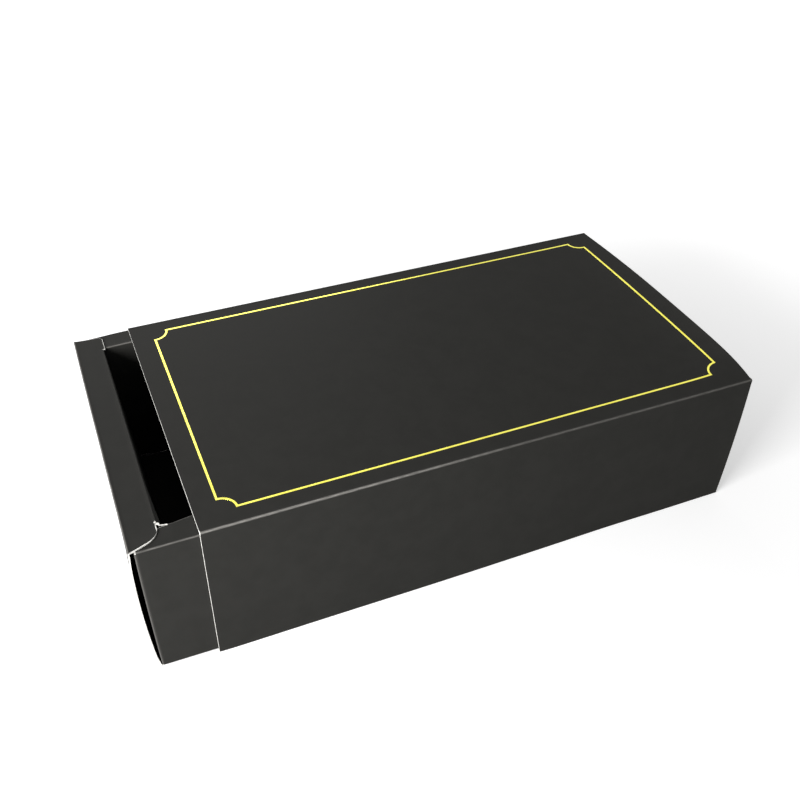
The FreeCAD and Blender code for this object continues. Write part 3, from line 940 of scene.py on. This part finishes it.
def end_wall_mesh(name, end, board, tray):
    """A hollow end wall with its eared rim, as one sheet: end is -1 in front and 1 behind.

    The folded line lies along the tray and is carried across it. The outer wall's
    swell follows the square of the place from side to side, and up the wall it is
    four times its share times one less its share. The ears are the same rows drawn
    in: past the inner wall's end the stations are spread over the ear's own width,
    which falls steadily and then along a quarter circle.
    """
    side, under, fold = tray.half_width, tray.underside, tray.fold_radius
    thickness, root = board.thickness, tray.end_inner_half
    tabs = tab_edges(END_TAB_SHARES, root, tray)[0]
    half = [0, root - BESIDE_ROOT[0], root, root + BESIDE_ROOT[1]]
    half += [side - fold, side - BESIDE_CUT[1], side]
    half += [abs(place) for pair in tabs for place in pair]
    breaks = [filled(half, END_WALL_CELL), filled([root, side], EAR_CELL)]
    stations = mirrored(np.concatenate(breaks))
    corners, end_fold, flare = end_wall_corners(end, stations, tray)

    # The rim's rows crowd where the ears' corners turn
    longest = tray.end_fold - fold - tray.ear_edge
    swept = np.sin(np.linspace(0, math.pi / 2, EAR_CORNER_ROWS)[:-1])
    turning = 1 - tray.ear_corner / longest * (1 - swept)
    rim_shares = np.concatenate([np.linspace(RIM_START, turning[0], 4)[:-1], turning])
    wall_length = np.linalg.norm(corners[5] - corners[4], axis=-1)
    wall, inner_wall = (inner_shares(count) for count in END_PANEL_CELLS)
    inner_rows = [*inner_wall, 1 - thickness / wall_length]
    rows = [None, wall, rim_shares, None, inner_rows]
    line = FoldedLine(corners, fold, rows, board.bead)
    y, z = line.points[..., 0], line.points[..., 1]
    x = np.broadcast_to(stations, y.shape)

    # Past the root of the inner wall the rim is an ear with an outline of its own
    label = line.row_label
    on_rim = label == 4
    past_rim = label > 4
    share = np.where(on_rim, line.share, past_rim)
    far_front = (x < 0) & (end < 0)
    corner = np.where(far_front, tray.far_ear_corner, tray.ear_corner)
    slant = np.where(far_front, tray.far_ear_slant, tray.ear_slant)
    ear_start = end_fold - fold
    ear_length = ear_start - np.where(far_front, tray.far_ear_edge, tray.ear_edge)
    into = share * ear_length
    turn_in = np.clip((into - ear_length + corner) / corner, 0, 1)
    ear_width = side - slant * into - corner * (1 - np.sqrt(1 - EAR_ROUND * turn_in**2))
    out = np.clip((np.abs(x) - root) / (side - root), 0, 1)
    in_ear = (out > 0) & (label >= 4)
    x = np.where(in_ear, np.sign(x) * (root + out * (ear_width - root)), x)
    y = np.where(in_ear, ear_start - into, y)
    raised = ease((np.abs(x) - root) / EAR_RISE_LENGTH) * ease(share * EAR_RISE_GAIN)
    z = z + in_ear * raised * np.where(far_front, tray.far_ear_lift, tray.near_ear_lift)

    # The outer wall swells and flares, and every panel ripples
    aside = stations / side
    end_arch = tray.end_arch + tray.arch_skew * aside + tray.arch_open * aside**2
    arch = 4 * line.share * (1 - line.share)
    on_wall, on_inner = label == 2, label == 8
    swell = end_arch * on_wall + board.ripple * wander(x + END_RIPPLE_START, line.along)
    y = y + line.normals[..., 0] * swell * arch * (on_wall | on_inner)
    from_foot = np.minimum(line.share / FLARE_FOOT, 1)
    full = from_foot - FLARE_HEAD_LOSS * ease((line.share - 1 + FLARE_HEAD) / FLARE_HEAD)
    flared = full * (FLARE_LOW - FLARE_FALL * line.share) - FLARE_AT_FOLD * line.share
    y = y + flare * flared * on_wall
    outside = np.stack([x, end * y - tray.pulled_out, z], axis=-1)
    normals = np.stack([0 * x, end * line.normals[..., 0], line.normals[..., 1]], axis=-1)

    cell = line.cell_label
    mid_x = np.abs(stations[:-1] + stations[1:])[None] / 2
    mid_z = (line.points[:-1] + line.points[1:])[:, len(stations) // 2, 1:] / 2
    lower_fold = (cell == 0) | ((cell == 1) & (mid_z < under + fold * FOOT_NOTCH))
    present = (cell <= 4) & ((mid_x < side - fold) | ~lower_fold)
    tabbed = (mid_z > under + thickness) | inside_any(mid_x, tabs)
    present |= (cell > 4) & (mid_x < root) & tabbed
    # Painted highlight with some rubbing of the coating on the folds: most on the top fold, faint
    # on the rims' inner folds
    inner_folds = line.beside(5) | line.beside(7)
    wear_and_highlight = np.where(inner_folds, INNER_FOLD_WEAR_HIGHLIGHT, END_FOLD_WEAR_HIGHLIGHT)
    wear_and_highlight = line.fold * np.where(line.beside(3), TOP_FOLD_WEAR_HIGHLIGHT, wear_and_highlight)
    bevel = np.where(in_ear, tray.ear_bevel, board.cut_bevel)

    # The front ears have lost a strip of coating along their inner edges
    to_edge = (1 - share) * ear_length
    stripped = np.where(far_front, tray.far_ear_bevel, tray.ear_bevel)
    middle_of_cell = (to_edge[:-1] + to_edge[1:])[:, :-1] / 2
    bare = (middle_of_cell < stripped[:1, :-1]) & (cell == 4) & (mid_x > root) & (end < 0)
    sheet = (wear_and_highlight, line.along, stations)
    return board_mesh(name, outside, normals, thickness, present, bevel, sheet, bare)


def torn_core_mesh(tray):
    """Three crumbs of the white core, torn up where the near front ear meets its fold.

    Each crumb is a leaf whose height rises with the square of the way along it and
    whose width narrows towards both ends. They are rows of one grid in which each
    leaf's end rows stand twice, and only the cells within a leaf are present.
    """
    rows, columns = CRUMB_GRID
    along = np.linspace(-1, 1, rows)[:, None] + np.zeros(columns)
    across = np.zeros((rows, 1)) + np.linspace(-1, 1, columns)
    leaves = []
    for number, (place, way, length, width, curl) in enumerate(CRUMBS):
        way_x, way_y = way / np.linalg.norm(way)
        narrow = np.sqrt(1.02 - along**2) * (1 + 0.25 * np.sin(5 * along + number))
        reach = along * length / 2
        aside = across * narrow * width / 2
        rise = curl * (0.5 * along + 0.5) ** 2 + 0.0001 * np.sin(7 * across + 4 * along)
        x = place[0] + reach * way_x - aside * way_y
        y = -(place[1] + reach * way_y + aside * way_x) - tray.pulled_out
        z = tray.top + place[2] + rise
        leaf = np.stack([x, y, z], axis=-1)
        steps = unit(np.cross(np.gradient(leaf, axis=0), np.gradient(leaf, axis=1)))
        facing = steps * np.sign(np.mean(steps[..., 2]))
        doubled = [np.pad(grid, CRUMB_PADDING, mode="edge") for grid in (leaf, facing)]
        leaves.append(doubled)
    outside, normals = map(np.concatenate, zip(*leaves))
    row = np.arange(len(outside) - 1)[:, None] % (rows + 2) + np.zeros(columns - 1, int)
    present = (row > 0) & (row < rows)
    mesh = board_mesh(
        "torn_core", outside, normals, CRUMB_THICKNESS, present, CRUMB_BEVEL, smooth=180
    )
    mesh.polygons.foreach_set("material_index", np.zeros(len(mesh.polygons), np.int32))
    return mesh


# Materials


class Nodes:
    """A node tree with short calls for adding nodes and links."""

    def __init__(self, tree):
        self.tree = tree
        tree.nodes.clear()

    def add(self, kind, inputs, **settings):
        """A node with its own settings and the values of its named or numbered inputs."""
        node = self.tree.nodes.new(kind)
        for key, value in settings.items():
            setattr(node, key, value)
        for key, value in inputs.items():
            self.feed(value, node.inputs[key])
        return node

    def feed(self, value, socket):
        """Link a socket, or set a plain value."""
        if isinstance(value, bpy.types.NodeSocket):
            self.tree.links.new(value, socket)
        else:
            socket.default_value = value

    def place(self):
        """Object coordinates in metres."""
        return self.add("ShaderNodeTexCoord", {}).outputs["Object"]

    def math(self, operation, *values):
        """The output of a Math node."""
        return self.add("ShaderNodeMath", dict(enumerate(values)), operation=operation).outputs[0]

    def mix(self, factor, first, second):
        """The output of a colour mix."""
        inputs = {0: factor, 6: first, 7: second}
        return self.add("ShaderNodeMix", inputs, data_type="RGBA").outputs[2]

    def ramp(self, value, low, high, start=0.0, end=1.0):
        """The value moved smoothly from low..high to start..end."""
        inputs = dict(enumerate((value, low, high, start, end)))
        return self.add("ShaderNodeMapRange", inputs, interpolation_type="SMOOTHSTEP").outputs[0]

    def stretched(self, place, scale):
        """Places stretched by a scale in each direction."""
        return self.add("ShaderNodeMapping", {"Vector": place, "Scale": scale}).outputs[0]

    def noise(self, place, scale, detail, roughness):
        """The height of a noise pattern."""
        inputs = {"Vector": place, "Scale": scale, "Detail": detail, "Roughness": roughness}
        return self.add("ShaderNodeTexNoise", inputs).outputs[0]

    def bump(self, height, distance, strength=0.5):
        """A normal bumped by a height."""
        inputs = {"Strength": strength, "Distance": distance, "Height": height}
        return self.add("ShaderNodeBump", inputs).outputs[0]

    def group(self, name, **values):
        """The outputs of a named group, with a value for each of its inputs."""
        inputs = {label.replace("_", " ").capitalize(): value for label, value in values.items()}
        tree = bpy.data.node_groups[name]
        return self.add("ShaderNodeGroup", inputs, node_tree=tree).outputs


def colour4(colour, share=1.0):
    """A share of a colour with full alpha."""
    return (*(share * value for value in colour), 1.0)


def new_group(name, inputs, outputs):
    """An empty shader node group of numbers, as its nodes, its inputs and its outputs."""
    tree = bpy.data.node_groups.new(name, "ShaderNodeTree")
    for label, default in inputs.items():
        socket = tree.interface.new_socket(label, in_out="INPUT", socket_type="NodeSocketFloat")
        socket.default_value = default
    for label in outputs:
        tree.interface.new_socket(label, in_out="OUTPUT", socket_type="NodeSocketFloat")
    nodes = Nodes(tree)
    given = nodes.add("NodeGroupInput", {}).outputs
    return nodes, given, nodes.add("NodeGroupOutput", {}).inputs


def make_fibre_group():
    """Paper fibres: a fine height for bumps and a slow mottle for shade, from Object places."""
    inputs = {"Fineness": 2200.0, "Mottle size": 55.0}
    nodes, given, result = new_group("Paper fibres", inputs, ["Height", "Mottle"])
    place = nodes.place()
    along_grain = nodes.stretched(place, (1.0, 0.55, 1.0))
    nodes.feed(nodes.noise(along_grain, given["Fineness"], 3.0, 0.6), result["Height"])
    nodes.feed(nodes.noise(place, given["Mottle size"], 4.0, 0.55), result["Mottle"])


def make_fold_wear_highlight_group():
    """Rubbing and painted highlight on folds: the mesh's value broken into streaks along the fold.
    """
    inputs = {"Amount": 1.0, "Streaks": 0.5}
    nodes, given, result = new_group("Fold wear", inputs, ["Mask"])
    worn_and_lit = nodes.add("ShaderNodeAttribute", {}, attribute_name="wear_and_highlight").outputs["Fac"]
    sheet = nodes.add("ShaderNodeUVMap", {}, uv_map="SheetMap").outputs[0]
    streaks = nodes.noise(nodes.stretched(sheet, (6500.0, 260.0, 1.0)), 1.0, 2.0, 0.5)
    kept = nodes.math("SUBTRACT", 1.0, given["Streaks"])
    broken = nodes.math("MULTIPLY_ADD", nodes.ramp(streaks, 0.35, 0.65), given["Streaks"], kept)
    mask = nodes.math("MULTIPLY", nodes.math("MULTIPLY", worn_and_lit, broken), given["Amount"])
    nodes.feed(mask, result["Mask"])


def make_dust_group():
    """Sparse specks of dust: small spots in a few of the cells of a cell pattern."""
    inputs = {"Spacing": 130.0, "Share": 0.06}
    nodes, given, result = new_group("Dust specks", inputs, ["Mask"])
    spread = {"Vector": nodes.place(), "Scale": given["Spacing"]}
    cells = nodes.add("ShaderNodeTexVoronoi", spread).outputs
    spot = nodes.ramp(cells["Distance"], 0.012, 0.035, 1.0, 0.0)
    chance = nodes.add("ShaderNodeSeparateColor", {0: cells["Color"]}).outputs[0]
    chosen = nodes.math("LESS_THAN", chance, given["Share"])
    nodes.feed(nodes.math("MULTIPLY", spot, chosen), result["Mask"])


def new_material(name):
    """A node material with an empty tree."""
    material = bpy.data.materials.new(name)
    material.use_nodes = True
    return material, Nodes(material.node_tree)


def finish_surface(nodes, **inputs):
    """A Principled shader with its inputs, put out as the surface."""
    named = {label.replace("_", " "): value for label, value in inputs.items()}
    shader = nodes.add("ShaderNodeBsdfPrincipled", named).outputs[0]
    nodes.add("ShaderNodeOutputMaterial", {"Surface": shader})


def make_coating(finish):
    """Matte black coating over paper: fine fibres, a faint mottle, dust and folds with rubbing and
    a painted highlight.
    """
    nodes = new_material("black_coating")[1]
    height, mottle = nodes.group("Paper fibres", fineness=2600.0, mottle_size=140.0)
    wear_and_highlight = nodes.group("Fold wear", amount=1.0, streaks=0.55)[0]
    dust = nodes.group("Dust specks", spacing=95.0, share=0.05)[0]
    dark, light = colour4(finish.coating, 0.95), colour4(finish.coating, 1.05)
    mottled = nodes.mix(nodes.ramp(mottle, 0.3, 0.7), dark, light)
    # The folds' painted highlight, with some rubbing of the coating, in the fold colour
    rubbed_and_lit = nodes.mix(wear_and_highlight, mottled, colour4(finish.worn_fold_highlight))
    dusty = nodes.mix(nodes.math("MULTIPLY", dust, 0.5), rubbed_and_lit, colour4(finish.dust))
    middle = finish.coating_roughness
    frayed = nodes.math("MULTIPLY_ADD", wear_and_highlight, nodes.math("MULTIPLY", height, 2.0), height)
    finish_surface(
        nodes,
        Base_Color=dusty,
        Roughness=nodes.ramp(mottle, 0.25, 0.75, middle - 0.04, middle + 0.04),
        Specular_IOR_Level=0.02,
        Normal=nodes.bump(frayed, 0.000012),
    )


def make_core(finish):
    """White paper core at a cut edge: soft, matte and slightly fibrous."""
    nodes = new_material("white_core")[1]
    height, mottle = nodes.group("Paper fibres", fineness=6000.0, mottle_size=700.0)
    shade = nodes.ramp(mottle, 0.35, 0.6)
    finish_surface(
        nodes,
        Base_Color=nodes.mix(shade, colour4(finish.core, 0.8), colour4(finish.core)),
        Roughness=nodes.ramp(height, 0.3, 0.7, 0.8, 0.95),
        Specular_IOR_Level=0.3,
        Normal=nodes.bump(height, 0.00002, 0.6),
    )


def make_foil(finish):
    """Stamped gold foil: bright metal that shows the paper's fibres through it."""
    nodes = new_material("stamped_foil")[1]
    height, mottle = nodes.group("Paper fibres", fineness=3200.0, mottle_size=260.0)
    deep = colour4(value * share for value, share in zip(finish.foil, (0.93, 0.9, 0.75)))
    middle = finish.foil_roughness
    finish_surface(
        nodes,
        Base_Color=nodes.mix(nodes.ramp(mottle, 0.35, 0.65), deep, colour4(finish.foil)),
        Metallic=1.0,
        Roughness=nodes.ramp(height, 0.3, 0.7, middle - 0.06, middle + 0.08),
        Normal=nodes.bump(height, 0.00001),
    )


def make_floor_finish(studio):
    """Pale matte floor that keeps the object's shadow and is brightened only to the eye."""
    material, nodes = new_material("studio_floor")
    place = nodes.place()
    shade = nodes.ramp(nodes.noise(place, 30.0, 2.0, 0.5), 0.2, 0.8, 0.98, 1.0)
    colour = nodes.mix(shade, (0.78, 0.78, 0.78, 1.0), colour4(studio.floor))
    matte = nodes.add("ShaderNodeBsdfDiffuse", {"Color": colour}).outputs[0]
    distance = nodes.add("ShaderNodeVectorMath", {0: place}, operation="LENGTH").outputs["Value"]
    to_camera = nodes.add("ShaderNodeLightPath", {}).outputs["Is Camera Ray"]
    brightened = nodes.ramp(distance, 0.12, 0.5, studio.floor_glow, 1.0)
    glow = nodes.math("MULTIPLY", brightened, to_camera)
    light = nodes.add("ShaderNodeEmission", {"Strength": glow}).outputs[0]
    both = nodes.add("ShaderNodeAddShader", {0: matte, 1: light}).outputs[0]
    nodes.add("ShaderNodeOutputMaterial", {"Surface": both})
    return material


def make_room_light(scene, studio):
    """Even grey light from all around, which the camera and gloss see as white."""
    world = bpy.data.worlds.new("studio_room")
    world.use_nodes = True
    nodes = Nodes(world.node_tree)
    grey, white = (
        nodes.add("ShaderNodeBackground", {"Color": (1, 1, 1, 1), "Strength": strength}).outputs[0]
        for strength in (studio.room_light, 1.0)
    )
    path = nodes.add("ShaderNodeLightPath", {}).outputs
    seen = nodes.math("MAXIMUM", path["Is Camera Ray"], path["Is Glossy Ray"])
    mixed = nodes.add("ShaderNodeMixShader", {0: seen, 1: grey, 2: white}).outputs[0]
    nodes.add("ShaderNodeOutputWorld", {"Surface": mixed})
    scene.world = world


def hang_softbox(scene, name, place, size, power):
    """A square area lamp that faces the box."""
    lamp = bpy.data.lights.new(name, "AREA")
    lamp.shape = "SQUARE"
    lamp.size = size
    lamp.energy = power
    hung = bpy.data.objects.new(name, lamp)
    hung.location = place
    hung.rotation_mode = "QUATERNION"
    hung.rotation_quaternion = (Vector(LAMP_TARGET) - hung.location).to_track_quat("-Z", "Y")
    hung.visible_camera = False
    scene.collection.objects.link(hung)


def set_camera(scene):
    """The photo's camera."""
    camera = bpy.data.cameras.new("photo_camera")
    camera.lens = LENS
    camera.sensor_width = 36
    camera.clip_start = 0.01
    camera.clip_end = 20
    ahead, right = Vector(CAMERA_AHEAD), Vector(CAMERA_RIGHT)
    turned = Matrix((right, right.cross(ahead), -ahead)).transposed().to_4x4()
    seat = bpy.data.objects.new("photo_camera", camera)
    seat.matrix_world = Matrix.Translation(CAMERA_PLACE) @ turned
    scene.collection.objects.link(seat)
    scene.camera = seat


def lay_floor(scene, studio):
    """A round pale floor."""
    around = np.linspace(0, 2 * math.pi, FLOOR_CORNERS + 1)[:-1]
    rim = FLOOR_RADIUS * np.stack([np.cos(around), np.sin(around), 0 * around], axis=-1)
    mesh = bpy.data.meshes.new("studio_floor")
    mesh.from_pydata(rim, [], [list(range(FLOOR_CORNERS))])
    mesh.materials.append(make_floor_finish(studio))
    floor = bpy.data.objects.new("studio_floor", mesh)
    scene.collection.objects.link(floor)


# Operators


def add_board(name, mesh, body, nodes):
    """Put a coated sheet with its white cut edges in the scene."""
    add_piece(name, mesh, body, nodes, ["black_coating", "white_core"])


class GIFTBOX_OT_set_studio(Operator):
    """Set the camera, the lights and the pale floor"""

    bl_idname = "giftbox.set_studio"
    bl_label = "Set studio"

    def execute(self, context):
        scene, studio = context.scene, context.scene.gift_box.studio
        scene.view_settings.view_transform = "Standard"
        set_camera(scene)
        make_room_light(scene, studio)
        hang_softbox(scene, "key_softbox", KEY_PLACE, KEY_SIZE, studio.key_light)
        hang_softbox(scene, "far_softbox", FAR_PLACE, FAR_SIZE, studio.far_light)
        lay_floor(scene, studio)
        return {"FINISHED"}


class GIFTBOX_OT_mix_finishes(Operator):
    """Make the shared effects and the three finishes of the box"""

    bl_idname = "giftbox.mix_finishes"
    bl_label = "Mix finishes"

    def execute(self, context):
        make_fibre_group()
        make_fold_wear_highlight_group()
        make_dust_group()
        for make in (make_coating, make_core, make_foil):
            make(context.scene.gift_box.finish)
        return {"FINISHED"}


class GIFTBOX_OT_fold_sleeve(Operator):
    """Fold the sleeve from one sheet"""

    bl_idname = "giftbox.fold_sleeve"
    bl_label = "Fold sleeve"

    def execute(self, context):
        box = context.scene.gift_box
        parts = ("bottom_panel", "right_panel", "top_panel", "left_panel", "glue_flap")
        nodes = ["sleeve_" + part for part in parts]
        add_board("sleeve_blank", sleeve_mesh(box.board, box.sleeve), "sleeve", nodes)
        return {"FINISHED"}


class GIFTBOX_OT_stamp_foil(Operator):
    """Stamp the foil frame line on the sleeve's top"""

    bl_idname = "giftbox.stamp_foil"
    bl_label = "Stamp foil line"

    def execute(self, context):
        box = context.scene.gift_box
        mesh = foil_mesh(box.board, box.sleeve, box.foil)
        nodes = ["foil_frame_line"]
        add_piece("foil_frame", mesh, "sleeve", nodes, ["stamped_foil"])
        return {"FINISHED"}


class GIFTBOX_OT_fold_long_walls(Operator):
    """Fold the tray's base with its long hollow walls and corner flaps"""

    bl_idname = "giftbox.fold_long_walls"
    bl_label = "Fold long walls"

    def execute(self, context):
        box = context.scene.gift_box
        ends = ("drawer_front_", "drawer_back_")
        nodes = ["drawer_base"]
        nodes += ["drawer_" + side + part for side in SIDES for part in WALL_PARTS]
        nodes += [end + side + "_corner_flap" for end in ends for side in SIDES]
        mesh = long_walls_mesh(box.board, box.tray)
        add_board("tray_long_walls", mesh, "drawer", nodes)
        return {"FINISHED"}


class GIFTBOX_OT_fold_end_walls(Operator):
    """Fold the tray's front and back walls with their eared rims"""

    bl_idname = "giftbox.fold_end_walls"
    bl_label = "Fold end walls"

    def execute(self, context):
        box = context.scene.gift_box
        for place, end in (("front", -1), ("back", 1)):
            name = "tray_" + place + "_wall"
            mesh = end_wall_mesh(name, end, box.board, box.tray)
            add_board(name, mesh, "drawer", ["drawer_" + place + part for part in WALL_PARTS])
        return {"FINISHED"}


class GIFTBOX_OT_tear_corner(Operator):
    """Leave crumbs of torn core beside the near front ear"""

    bl_idname = "giftbox.tear_corner"
    bl_label = "Tear corner"

    def execute(self, context):
        mesh = torn_core_mesh(context.scene.gift_box.tray)
        add_piece("torn_core", mesh, "drawer", [], ["white_core"])
        return {"FINISHED"}


OPERATORS = (
    GIFTBOX_OT_set_studio,
    GIFTBOX_OT_mix_finishes,
    GIFTBOX_OT_fold_sleeve,
    GIFTBOX_OT_stamp_foil,
    GIFTBOX_OT_fold_long_walls,
    GIFTBOX_OT_fold_end_walls,
    GIFTBOX_OT_tear_corner,
)


class GIFTBOX_PT_sidebar(Panel):
    """Settings and steps of the gift box"""

    bl_label = "Gift box"
    bl_idname = "GIFTBOX_PT_sidebar"
    bl_space_type = "VIEW_3D"
    bl_region_type = "UI"
    bl_category = "Gift box"

    def draw(self, context):
        for name, group in SETTINGS.items():
            column = self.layout.box().column()
            column.label(text=name.capitalize())
            for setting in group.__annotations__:
                column.prop(getattr(context.scene.gift_box, name), setting)
        for step in OPERATORS:
            self.layout.operator(step.bl_idname)


CLASSES = (*SETTINGS.values(), GiftBoxSettings, *OPERATORS, GIFTBOX_PT_sidebar)


def register():
    for kind in CLASSES:
        bpy.utils.register_class(kind)
    bpy.types.Scene.gift_box = PointerProperty(type=GiftBoxSettings)


def unregister():
    del bpy.types.Scene.gift_box
    for kind in reversed(CLASSES):
        bpy.utils.unregister_class(kind)


def main():
    """Run every step in order."""
    register()
    bpy.ops.giftbox.set_studio()
    bpy.ops.giftbox.mix_finishes()
    bpy.ops.giftbox.fold_sleeve()
    bpy.ops.giftbox.stamp_foil()
    bpy.ops.giftbox.fold_long_walls()
    bpy.ops.giftbox.fold_end_walls()
    bpy.ops.giftbox.tear_corner()


if __name__ == "__main__":
    main()
